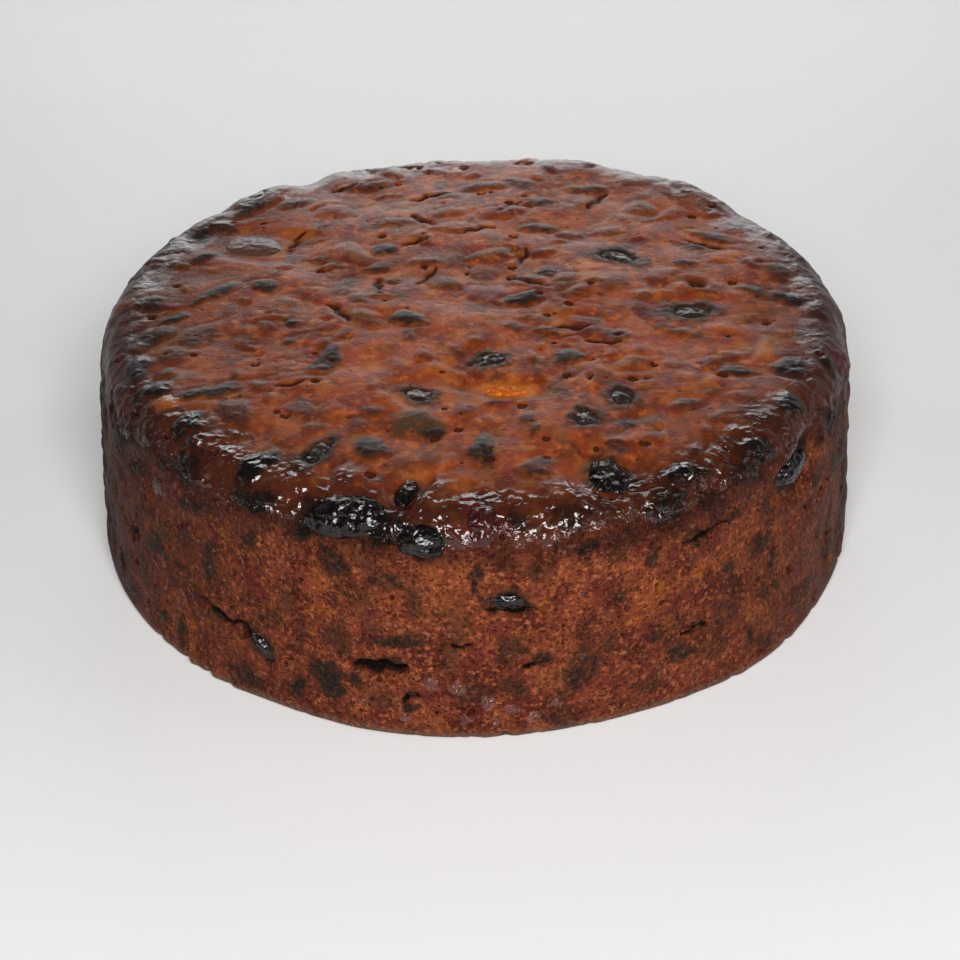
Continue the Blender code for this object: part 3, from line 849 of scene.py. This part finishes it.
def new_geometry_tree(name, sizes):
    """A Geometry Nodes tree with a mesh in and out and named number inputs."""
    tree = bpy.data.node_groups.new(name, "GeometryNodeTree")
    tree.interface.new_socket("Geometry", in_out="INPUT", socket_type="NodeSocketGeometry")
    for label, kind, value in sizes:
        tree.interface.new_socket(label, in_out="INPUT", socket_type=kind).default_value = value
    for label in ("Finish", "Second Finish", "Third Finish"):
        tree.interface.new_socket(label, in_out="INPUT", socket_type="NodeSocketMaterial")
    tree.interface.new_socket("Geometry", in_out="OUTPUT", socket_type="NodeSocketGeometry")
    entry = put(tree, "NodeGroupInput")
    leave = put(tree, "NodeGroupOutput")
    return tree, entry.outputs, leave.inputs


def finished_with_nodes(thing, tree, name, **inputs):
    """Runs a tree on an object and keeps the result as a plain mesh in a new object."""
    modifier = thing.modifiers.new(tree.name, "NODES")
    modifier.node_group = tree
    for socket in tree.interface.items_tree:
        if socket.in_out == "INPUT" and socket.name in inputs:
            modifier[socket.identifier] = inputs[socket.name]
    bpy.context.view_layer.update()
    graph = bpy.context.evaluated_depsgraph_get()
    mesh = bpy.data.meshes.new_from_object(thing.evaluated_get(graph))
    mesh.name = name
    made = bpy.data.objects.new(name, mesh)
    bpy.context.scene.collection.objects.link(made)
    thing.modifiers.remove(modifier)
    return made


print("helpers ready")

# %% The tree that makes the pores
FLOAT, VECTOR, COLOUR = "NodeSocketFloat", "NodeSocketVector", "NodeSocketColor"


def pore_layer(tree, place, spacing, width, share, seed):
    """How deep each point is in a pore, from 0 on the skin to 1 at the pore's middle."""
    shift = put(tree, "ShaderNodeCombineXYZ", {0: seed, 1: seed, 2: seed}).outputs[0]
    shifted = moved_by(tree, scaled_by(tree, place, spacing), shift)
    cells = put(tree, "ShaderNodeTexVoronoi", {"Vector": shifted, "Scale": 1.0}).outputs
    chance = split(tree, cells["Color"])
    own_width = times(tree, width, times_plus(tree, chance[0], 0.7, 0.5))
    reach = sums(tree, "DIVIDE", times(tree, cells["Distance"], spacing), own_width)
    open_here = sums(tree, "LESS_THAN", chance[1], share)
    return times(tree, ramp_between(tree, reach, 1.0, 0.25), open_here)


# spacing and width in metres, and the share of cells that have a pore
PORES = {"Top": (0.0072, 0.0015, 0.7), "Side": (0.0042, 0.0009, 0.36)}
PORE_SEED = 7.3
FOLD_WIDTH = 0.055
FOLD_PATCH_SCALE, FOLD_PATCH_ENDS = 38.0, (0.50, 0.64)
STILL_BELOW, FREE_ABOVE = 0.0005, 0.003
RIM_FINISH_FROM, WET_FINISH_FROM = 0.4, 0.35

pores, given, result = new_geometry_tree("baked_pores", [
    ("Top Spacing", FLOAT, PORES["Top"][0]), ("Top Width", FLOAT, PORES["Top"][1]),
    ("Top Depth", FLOAT, 0.0011), ("Side Spacing", FLOAT, PORES["Side"][0]),
    ("Side Width", FLOAT, PORES["Side"][1]), ("Side Depth", FLOAT, 0.0007),
    ("Ripple Size", FLOAT, 0.0042), ("Ripple Height", FLOAT, 0.00020),
    ("Fold Size", FLOAT, 0.0095), ("Fold Depth", FLOAT, 0.00025), ("Seed", FLOAT, PORE_SEED),
])
place = put(pores, "GeometryNodeInputPosition").outputs[0]
outward = put(pores, "GeometryNodeInputNormal").outputs[0]
gloss, shoulder_here, wet_here = [read_mark(pores, name) for name in ("glaze", "shoulder", "wet")]
pore_marks, sinks = [], []
for kind, where in (("Top", gloss), ("Side", minus(pores, 1.0, gloss))):
    spacing, width, share = given[kind + " Spacing"], given[kind + " Width"], PORES[kind][2]
    inside = pore_layer(pores, place, spacing, width, share, given["Seed"])
    pore_marks.append(times(pores, inside, where))
    sinks.append(times(pores, pore_marks[-1], given[kind + " Depth"]))
pore_mark = sums(pores, "MAXIMUM", *pore_marks)
ripple = put(pores, "ShaderNodeTexNoise", {
    "Vector": place, "Scale": sums(pores, "DIVIDE", 1.0, given["Ripple Size"]), "Detail": 2.0,
})
ripple_height = times(pores, given["Ripple Height"], times_plus(pores, shoulder_here, 1.6, 0.8))
ripple_lift = times(pores, minus(pores, ripple.outputs[0], 0.5), ripple_height)
raised = minus(pores, times(pores, ripple_lift, 2.0), sums(pores, "ADD", *sinks))
fold_field = put(pores, "ShaderNodeTexNoise", {
    "Vector": place, "Scale": sums(pores, "DIVIDE", 1.0, given["Fold Size"]),
    "Detail": 2.0, "Distortion": 0.5,
})
fold_near = sums(pores, "ABSOLUTE", minus(pores, fold_field.outputs[0], 0.5))
fold_patch = put(pores, "ShaderNodeTexNoise", {"Vector": place, "Scale": FOLD_PATCH_SCALE, "Detail": 1.0})
in_patch = ramp_between(pores, fold_patch.outputs[0], *FOLD_PATCH_ENDS)
fold_line = times(pores, ramp_between(pores, fold_near, FOLD_WIDTH, 0.0), in_patch)
fold_mark = times(pores, fold_line, gloss)
raised = minus(pores, raised, times(pores, fold_mark, given["Fold Depth"]))
above = split(pores, place)[2]
raised = times(pores, raised, ramp_between(pores, above, STILL_BELOW, FREE_ABOVE))
marked = write_mark(pores, given["Geometry"], "pore", pore_mark)
marked = write_mark(pores, marked, "fold", fold_mark)
offset = stretched(pores, outward, raised)
sunk = put(pores, "GeometryNodeSetPosition", {"Geometry": marked, "Offset": offset})
whole = put(pores, "GeometryNodeRealizeInstances", {"Geometry": sunk.outputs[0]}).outputs[0]
on_skin = sums(pores, "GREATER_THAN", gloss, 0.5)
on_rim = times(pores, on_skin, sums(pores, "GREATER_THAN", shoulder_here, RIM_FINISH_FROM))
on_rim = sums(pores, "MAXIMUM", on_rim, sums(pores, "GREATER_THAN", wet_here, WET_FINISH_FROM))
dressed = dressed_in(pores, whole, given["Finish"])
dressed = dressed_in(pores, dressed, given["Second Finish"], on_skin)
dressed = dressed_in(pores, dressed, given["Third Finish"], on_rim)
pores.links.new(dressed, result["Geometry"])
print("pore tree:", len(pores.nodes), "nodes")

# %% [markdown]
# ## Finishes
#
# The cake's colour comes in layers: a mottled batter, a darker baked shoulder, the fruit that shows
# through, painted shade towards the left, right and front edges, painted shade in pores, folds, cracks,
# crumb holes and slits, painted glints on the crumb and a partly painted sheen on the syrup drops.
# Effects that batter and fruit share, such as grain and wrinkles, are node groups that put out only a
# height or a mask, so each finish can use them at its own scale. Everything is read from object
# coordinates in metres, so sizes in the nodes are real. The batter is one recipe cooked three ways: a
# top skin, a stickier rim that the syrup drops share, and a dull crumb for the side, which mirrors least.

# %% Helpers for finishes


def blended(tree, factor, first, second, mode="MIX"):
    """One colour laid over another by a factor."""
    values = {0: factor, 6: first, 7: second}
    return put(tree, "ShaderNodeMix", values, data_type="RGBA", blend_type=mode).outputs[2]


def soft_noise(tree, place, size, detail, roughness=0.5):
    """Soft noise with features of one size."""
    values = {"Vector": scaled_by(tree, place, size), "Scale": 1.0, "Detail": detail, "Roughness": roughness}
    return put(tree, "ShaderNodeTexNoise", values).outputs


def new_effect(name, inputs, outputs):
    """A shader node group with named inputs and outputs."""
    tree = bpy.data.node_groups.new(name, "ShaderNodeTree")
    for label, kind, value in inputs:
        socket = tree.interface.new_socket(label, in_out="INPUT", socket_type=kind)
        if value is not None:
            socket.default_value = value
    for label, kind in outputs:
        tree.interface.new_socket(label, in_out="OUTPUT", socket_type=kind)
    entry, leave = put(tree, "NodeGroupInput"), put(tree, "NodeGroupOutput")
    return tree, entry.outputs, leave.inputs


def effect(tree, group, values):
    """Places a node group in a finish with its own values."""
    return put(tree, "ShaderNodeGroup", values, node_tree=group).outputs


# %% Grain: the open texture of crumb
grain, given, result = new_effect(
    "crumb_grain",
    [("Vector", VECTOR, None), ("Crumb Size", FLOAT, 0.0010), ("Openness", FLOAT, 0.5)],
    [("Height", FLOAT), ("Holes", FLOAT), ("Shade", FLOAT)],
)
crumb_place = scaled_by(grain, given["Vector"], given["Crumb Size"])
warp = put(grain, "ShaderNodeTexNoise", {"Vector": crumb_place, "Scale": 0.9, "Detail": 0.0})
bent_place = moved_by(grain, crumb_place, warp.outputs["Color"])
crumbs = put(grain, "ShaderNodeTexVoronoi", {"Vector": bent_place, "Scale": 1.0}).outputs
chance = split(grain, crumbs["Color"])
open_here = sums(grain, "LESS_THAN", chance[0], given["Openness"])
holes = times(grain, ramp_between(grain, crumbs["Distance"], 0.55, 0.2), open_here)
fuzz = put(grain, "ShaderNodeTexNoise", {
    "Vector": crumb_place, "Scale": 2.0, "Detail": 2.0, "Roughness": 0.6,
})
pebble = minus(grain, 1.0, crumbs["Distance"])
lumpy = sums(grain, "ADD", pebble, times(grain, fuzz.outputs[0], 0.7))
grain.links.new(times_plus(grain, holes, -1.6, lumpy), result["Height"])
grain.links.new(holes, result["Holes"])
grain.links.new(chance[1], result["Shade"])

# %% Wrinkles: ridges of dried skin
wrinkle, given, result = new_effect(
    "dried_wrinkle", [("Vector", VECTOR, None), ("Fold Size", FLOAT, 0.0016)], [("Height", FLOAT)]
)
rough_field = soft_noise(wrinkle, given["Vector"], given["Fold Size"], 1.0)[0]
centred = sums(wrinkle, "ABSOLUTE", minus(wrinkle, rough_field, 0.5))
wrinkle.links.new(times_plus(wrinkle, centred, -4.0, 1.0, clamp=True), result["Height"])

# %% Mottle: patches of lighter and darker bake
mottle, given, result = new_effect(
    "bake_mottle",
    [("Vector", VECTOR, None), ("Patch Size", FLOAT, 0.011), ("Speck Size", FLOAT, 0.0024),
     ("Dark", COLOUR, None), ("Middle", COLOUR, None), ("Light", COLOUR, None)],
    [("Colour", COLOUR)],
)
patches = soft_noise(mottle, given["Vector"], given["Patch Size"], 3.0, 0.6)[0]
specks = soft_noise(mottle, given["Vector"], given["Speck Size"], 2.0, 0.65)[0]
deep = blended(mottle, ramp_between(mottle, patches, 0.36, 0.58), given["Dark"], given["Middle"])
tone = blended(mottle, ramp_between(mottle, specks, 0.48, 0.72), deep, given["Light"])
mottle.links.new(tone, result["Colour"])
print("effects:", [group.name for group in (grain, wrinkle, mottle)])

# %% Colours
TOP_TONES = {
    "Dark": (0.14, 0.024, 0.007, 1), "Middle": (0.26, 0.048, 0.010, 1), "Light": (0.39, 0.10, 0.019, 1),
}
SIDE_TONES = {
    "Dark": (0.080, 0.016, 0.009, 1), "Middle": (0.170, 0.038, 0.017, 1), "Light": (0.34, 0.095, 0.033, 1),
}
WINE_TINT = (0.095, 0.014, 0.014, 1)
AMBER_TINT = (0.42, 0.13, 0.022, 1)
OLIVE_TINT = (0.050, 0.030, 0.015, 1)
RAISIN_TINT = (0.020, 0.013, 0.009, 1)
RIM_RAISIN_TINT = (0.005, 0.004, 0.003, 1)
CHERRY_TINT = (0.085, 0.010, 0.012, 1)
PEEL_TINT = (0.45, 0.12, 0.012, 1)
SULTANA_TINT = (0.060, 0.032, 0.014, 1)
# painted shade in pores, folds, cracks and crumb holes
PORE_SHADE_TINT = (0.045, 0.009, 0.003, 1)
# painted shade inside the side slits
SLIT_SHADE_TINT = (0.006, 0.003, 0.002, 1)
RIM_TINT = (0.030, 0.008, 0.005, 1)
# painted shade towards the left, right and front edges
EDGE_SHADE_TINT = (0.022, 0.006, 0.004, 1)
FOOT_TINT = (0.15, 0.085, 0.055, 1)
# the syrup drops' pale pink: partly their own colour, partly a painted sheen
DROP_COLOUR_AND_SHEEN = (0.17, 0.055, 0.045, 1)
# painted glints on the crumb
PAINTED_GLINT_TINT = (0.55, 0.36, 0.28, 1)
VEIL_TINT = (0.036, 0.023, 0.014, 1)


def mask_of(tree, name):
    """A number kept on the mesh, as a link."""
    return put(tree, "ShaderNodeAttribute", attribute_name=name).outputs["Fac"]


def new_finish(name):
    """An empty material with its shader and its object coordinates."""
    made = bpy.data.materials.new(name)
    made.use_nodes = True
    tree = made.node_tree
    coordinates = put(tree, "ShaderNodeTexCoord").outputs["Object"]
    return made, tree, tree.nodes["Principled BSDF"], coordinates


# %% Spots: the pores again, as a mask finer than the mesh
spots, given, result = new_effect(
    "pore_spots",
    [("Vector", VECTOR, None), ("Spacing", FLOAT, 0.0075), ("Width", FLOAT, 0.0011),
     ("Share", FLOAT, 0.55), ("Seed", FLOAT, 3.0)],
    [("Mask", FLOAT)],
)
inside = pore_layer(spots, given["Vector"], given["Spacing"], given["Width"], given["Share"], given["Seed"])
spots.links.new(ramp_between(spots, inside, 0.05, 0.45), result["Mask"])

# %% The baked batter


CRUMB_PATCHES = {"Patch Size": 0.008, "Speck Size": 0.0013}
SKIN_PATCHES = {"Patch Size": 0.012, "Speck Size": 0.0030}
FINE_DOTS = {"Spacing": 0.0034, "Width": 0.0006, "Share": 0.35, "Seed": 1.9}
FACING_ENDS = (-0.02, -0.08)
FOOT_BAND_ENDS = (0.0018, -0.0002)
SMOOTHEST = 0.10
BUMP_HEIGHT = 0.0006


def batter_colour(tree, place, glazed, bare, shoulder, fray, dots, fine_dots, fine_grain):
    """The batter's colour: mottle, baked shoulder, painted edge shade, fruit under the skin, painted glints,
    painted shade in pores and slits, foot, drops.
    """
    crumb_tone = effect(tree, mottle, {"Vector": place, **CRUMB_PATCHES, **SIDE_TONES})["Colour"]
    skin_tone = effect(tree, mottle, {"Vector": place, **SKIN_PATCHES, **TOP_TONES})["Colour"]
    colour = blended(tree, glazed, crumb_tone, skin_tone)
    amounts = split(tree, soft_noise(tree, place, 0.0075, 2.0)["Color"])
    amber_share = times_plus(tree, glazed, 0.22, 0.16)
    olive_share = times_plus(tree, glazed, 0.20, 0.15)
    tints = ((0.50, WINE_TINT), (amber_share, AMBER_TINT), (olive_share, OLIVE_TINT))
    for amount, (strength, tint) in zip(amounts, tints):
        patch = times(tree, ramp_between(tree, amount, 0.52, 0.66), strength)
        colour = blended(tree, patch, colour, tint)
    colour = blended(tree, times(tree, shoulder, 0.8), colour, RIM_TINT)
    # Painted shade towards the left, right and front edges.
    colour = blended(tree, mask_of(tree, "toast"), colour, EDGE_SHADE_TINT)

    frayed_by = times_plus(tree, fray, 2.0, 0.15)
    raisin_tone = blended(tree, times(tree, shoulder, 1.3, clamp=True), RAISIN_TINT, RIM_RAISIN_TINT)
    fruit_tints = {"sultana": SULTANA_TINT, "peel": PEEL_TINT, "cherry": CHERRY_TINT, "raisin": raisin_tone}
    for kind, tint in fruit_tints.items():
        patch = times(tree, mask_of(tree, kind), frayed_by, clamp=True)
        colour = blended(tree, patch, colour, tint)

    contrast = times_plus(tree, bare, 0.30, 0.12)
    light = sums(tree, "ADD", times(tree, minus(tree, fine_grain["Shade"], 0.5), contrast), 1.0)
    bright = put(tree, "ShaderNodeCombineXYZ", {0: light, 1: light, 2: light}).outputs[0]
    colour = blended(tree, 1.0, colour, bright, "MULTIPLY")
    # Painted glints: a few crumbs on the bare side are made pale, like tiny sparkles.
    painted_glints = times(tree, sums(tree, "GREATER_THAN", fine_grain["Shade"], 0.975), times(tree, bare, 0.08))
    colour = blended(tree, painted_glints, colour, PAINTED_GLINT_TINT)

    # Painted shade: crumb holes, folds, pores and cracks are darkened towards a deep brown.
    holes = times(tree, fine_grain["Holes"], times_plus(tree, bare, 0.36, 0.02))
    fold, crack = mask_of(tree, "fold"), mask_of(tree, "crack")
    for mark, strength in ((fold, 0.55), (fine_dots, 0.7), (crack, 2.0), (dots, 0.85), (holes, 1.0)):
        colour = blended(tree, times(tree, mark, strength, clamp=True), colour, PORE_SHADE_TINT)
    # Painted shade: the insides of the side slits are made nearly black.
    colour = blended(tree, ramp_between(tree, mask_of(tree, "cavity"), 0.2, 0.75), colour, SLIT_SHADE_TINT)
    up = split(tree, place)[2]
    foot_band = ramp_between(tree, times_plus(tree, fray, -0.003, up), *FOOT_BAND_ENDS)
    colour = blended(tree, times(tree, foot_band, 0.7), colour, FOOT_TINT)
    # The syrup drops turn pale pink: partly their own colour, partly a painted sheen.
    return blended(tree, times(tree, mask_of(tree, "wet"), 0.35), colour, DROP_COLOUR_AND_SHEEN)


def batter_finish(name, pore_kind, mirror):
    """The baked batter: glossy skin where the glaze mask is 1, open crumb where it is 0."""
    made, tree, shader, place = new_finish(name)
    glazed, shoulder, wet = [mask_of(tree, mark) for mark in ("glaze", "shoulder", "wet")]
    bare = minus(tree, 1.0, glazed)
    fray = soft_noise(tree, place, 0.0018, 3.0)[0]
    fine_grain = effect(tree, grain, {"Vector": place, "Crumb Size": 0.0009, "Openness": 0.4})
    spacing, width, share = PORES[pore_kind]
    pore_sizes = {"Spacing": spacing, "Width": width, "Share": share, "Seed": PORE_SEED}
    dots = effect(tree, spots, {"Vector": place, **pore_sizes})["Mask"]
    fine_dots = times(tree, effect(tree, spots, {"Vector": place, **FINE_DOTS})["Mask"], glazed)
    colour = batter_colour(tree, place, glazed, bare, shoulder, fray, dots, fine_dots, fine_grain)
    tree.links.new(colour, shader.inputs["Base Color"])

    facing = ramp_between(tree, split(tree, place)[1], *FACING_ENDS)
    sticky = times(tree, shoulder, times_plus(tree, facing, 0.70, 0.30))
    shine = times_plus(tree, fray, 0.16, 0.38)
    skin_dots = times(tree, dots, glazed)
    for mark, change in ((bare, 0.02), (sticky, -0.36), (skin_dots, -0.28), (fine_dots, -0.24), (wet, -0.25)):
        shine = times_plus(tree, mark, change, shine)
    tree.links.new(sums(tree, "MAXIMUM", shine, SMOOTHEST), shader.inputs["Roughness"])
    shader.inputs["Specular IOR Level"].default_value = mirror

    wide = effect(tree, wrinkle, {"Vector": place, "Fold Size": 0.0040})["Height"]
    fine = effect(tree, wrinkle, {"Vector": place, "Fold Size": 0.0020})["Height"]
    swell = soft_noise(tree, place, 0.0045, 1.0)[0]
    creased = sums(tree, "MAXIMUM", times(tree, mask_of(tree, "raisin"), 0.35), sticky)
    height = times(tree, fine_grain["Height"], times_plus(tree, bare, 0.72, 0.06))
    ridges = (
        (wide, times(tree, creased, 0.95)), (fine, 0.07), (swell, times(tree, glazed, 0.3)),
        (dots, -1.4), (fine_dots, -0.8),
    )
    for field, strength in ridges:
        height = times_plus(tree, field, strength, height)
    height = times(tree, height, times_plus(tree, wet, -0.8, 1.0))
    height = times_plus(tree, fine, times(tree, wet, 1.1), height)
    bump = put(tree, "ShaderNodeBump", {"Height": height, "Strength": 1.0, "Distance": BUMP_HEIGHT})
    tree.links.new(bump.outputs[0], shader.inputs["Normal"])
    print(name, "has", len(tree.nodes), "nodes")
    return made


skin_finish = batter_finish("baked_skin", "Top", 0.14)
rim_finish = batter_finish("baked_rim", "Top", 0.45)
crumb_finish = batter_finish("baked_crumb", "Side", 0.05)

# %% The fruit finishes


VEIL_ENDS = (0.0608, 0.0624)


def fruit_finish(name, dark, light, roughness, mirror, fold_size, fold_depth, veil):
    """Dried or candied fruit: two shades, a wrinkled, sticky skin and, on top, a veil of batter."""
    made, tree, shader, place = new_finish(name)
    tones = {"Dark": dark, "Middle": dark, "Light": light}
    tone = effect(tree, mottle, {"Vector": place, "Patch Size": 0.004, "Speck Size": 0.0012, **tones})
    covered = times(tree, ramp_between(tree, split(tree, place)[2], *VEIL_ENDS), veil)
    tree.links.new(blended(tree, covered, tone["Colour"], VEIL_TINT), shader.inputs["Base Color"])
    folds = effect(tree, wrinkle, {"Vector": place, "Fold Size": fold_size})["Height"]
    pricks = effect(tree, grain, {"Vector": place, "Crumb Size": 0.0008, "Openness": 0.3})["Height"]
    shine = times_plus(tree, covered, 0.3, roughness)
    tree.links.new(times_plus(tree, pricks, 0.03, shine), shader.inputs["Roughness"])
    shader.inputs["Specular IOR Level"].default_value = mirror
    height = times_plus(tree, pricks, 0.09, folds)
    bump = put(tree, "ShaderNodeBump", {"Height": height, "Strength": 1.0, "Distance": fold_depth})
    tree.links.new(bump.outputs[0], shader.inputs["Normal"])
    return made


SLOTS = {"raisin": "dark_raisin", "cherry": "glace_cherry", "peel": "candied_peel", "sultana": "pale_sultana"}
FRUIT_SHADES = {
    "raisin": ((0.003, 0.002, 0.002, 1), (0.014, 0.009, 0.008, 1)),
    "cherry": ((0.030, 0.006, 0.005, 1), (0.070, 0.013, 0.010, 1)),
    "peel": ((0.42, 0.085, 0.008, 1), (0.72, 0.23, 0.02, 1)),
    "sultana": ((0.080, 0.036, 0.022, 1), (0.12, 0.06, 0.04, 1)),
}
# roughness, mirror, size and depth of the folds in metres, share under the veil
FRUIT_SKINS = {
    "raisin": (0.13, 0.42, 0.0044, 0.00070, 0.5),
    "cherry": (0.13, 0.40, 0.0034, 0.00065, 0.2),
    "peel": (0.26, 0.16, 0.0018, 0.0004, 0.0),
    "sultana": (0.30, 0.2, 0.0030, 0.0002, 0.2),
}
FINISHES = {kind: fruit_finish(SLOTS[kind], *FRUIT_SHADES[kind], *FRUIT_SKINS[kind]) for kind in SLOTS}
print("fruit finishes:", list(FINISHES))

# %% Run the pores over the body
cake_with_pores = finished_with_nodes(cake, pores, "baked_cake_body", **{
    "Seed": PORE_SEED, "Finish": crumb_finish, "Second Finish": skin_finish, "Third Finish": rim_finish,
})
bpy.data.objects.remove(cake)
cake_with_pores.data.shade_smooth()
cake_with_pores.data.calc_loop_triangles()
print("body:", len(cake_with_pores.data.loop_triangles), "triangles")

# %% [markdown]
# ## Fruit that breaks through
#
# Each of these is a solid of its own in the frame. A dried raisin is a plump grape that lost its
# water: the skin kept its area, so it folded along the fruit's length. The tree takes the plain solid,
# smooths it, and pushes it in along ridges that are stretched in one direction. The same tree with
# other folds makes glossy cherries and flat peel.

# %% The tree that wrinkles a fruit
folding, given, result = new_geometry_tree("folded_fruit", [
    ("Along", VECTOR, (1.0, 0.0, 0.0)), ("Stretch", FLOAT, 0.65),
    ("Fold Size", FLOAT, 0.0028), ("Fold Depth", FLOAT, 0.0007), ("Seed", FLOAT, 1.0),
])
joined = put(folding, "GeometryNodeMergeByDistance", {"Geometry": given["Geometry"], "Distance": 0.000005})
fine = put(folding, "GeometryNodeSubdivisionSurface", {"Mesh": joined.outputs[0], "Level": 3})
place = put(folding, "GeometryNodeInputPosition").outputs[0]
outward = put(folding, "GeometryNodeInputNormal").outputs[0]
dot = put(folding, "ShaderNodeVectorMath", {0: place, 1: given["Along"]}, operation="DOT_PRODUCT")
forward = dot.outputs["Value"]
slide = times(folding, forward, times(folding, given["Stretch"], -1.0))
squeezed = moved_by(folding, place, stretched(folding, given["Along"], slide))
field = put(folding, "ShaderNodeTexNoise", {
    "Vector": scaled_by(folding, squeezed, given["Fold Size"]), "W": given["Seed"],
    "Scale": 1.0, "Detail": 2.0,
}, noise_dimensions="4D")
valley = sums(folding, "ABSOLUTE", minus(folding, field.outputs[0], 0.5))
valley = times_plus(folding, valley, -5.0, 1.0, clamp=True)
sink = times(folding, times(folding, valley, given["Fold Depth"]), -1.0)
offset = stretched(folding, outward, sink)
folded = put(folding, "GeometryNodeSetPosition", {"Geometry": fine.outputs[0], "Offset": offset})
rounded = put(folding, "GeometryNodeSetShadeSmooth", {"Geometry": folded.outputs[0]})
whole = put(folding, "GeometryNodeRealizeInstances", {"Geometry": rounded.outputs[0]})
folding.links.new(dressed_in(folding, whole.outputs[0], given["Finish"]), result["Geometry"])

# %% Make each piece from its solid
FOLDS = {
    "raisin": (0.0040, 0.0007), "cherry": (0.0050, 0.0004),
    "peel": (0.0030, 0.0007), "sultana": (0.0070, 0.0002),
}
fruit_pieces = []
for number, (name, (place, distance, _, _, turn)) in enumerate(BROKEN_THROUGH.items()):
    kind = name.split("_")[0]
    _, along, _, _ = skin_axes(place, distance, turn)
    fold_size, fold_depth = FOLDS[kind]
    solid = bpy.data.objects.new("solid", frame["nodes"][name].data.copy())
    bpy.context.scene.collection.objects.link(solid)
    piece = finished_with_nodes(solid, folding, "folded_" + name, **{
        "Along": along.tolist(), "Fold Size": fold_size, "Fold Depth": fold_depth,
        "Seed": float(number), "Finish": FINISHES[kind],
    })
    bpy.data.objects.remove(solid)
    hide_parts(name)
    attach(piece, "root")
    fruit_pieces.append(piece)
print("fruit pieces:", len(fruit_pieces), "of", len(fruit_pieces[0].data.polygons), "faces each")

# %% Put the body in the frame and finish
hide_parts("cake")
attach(cake_with_pores, "root")
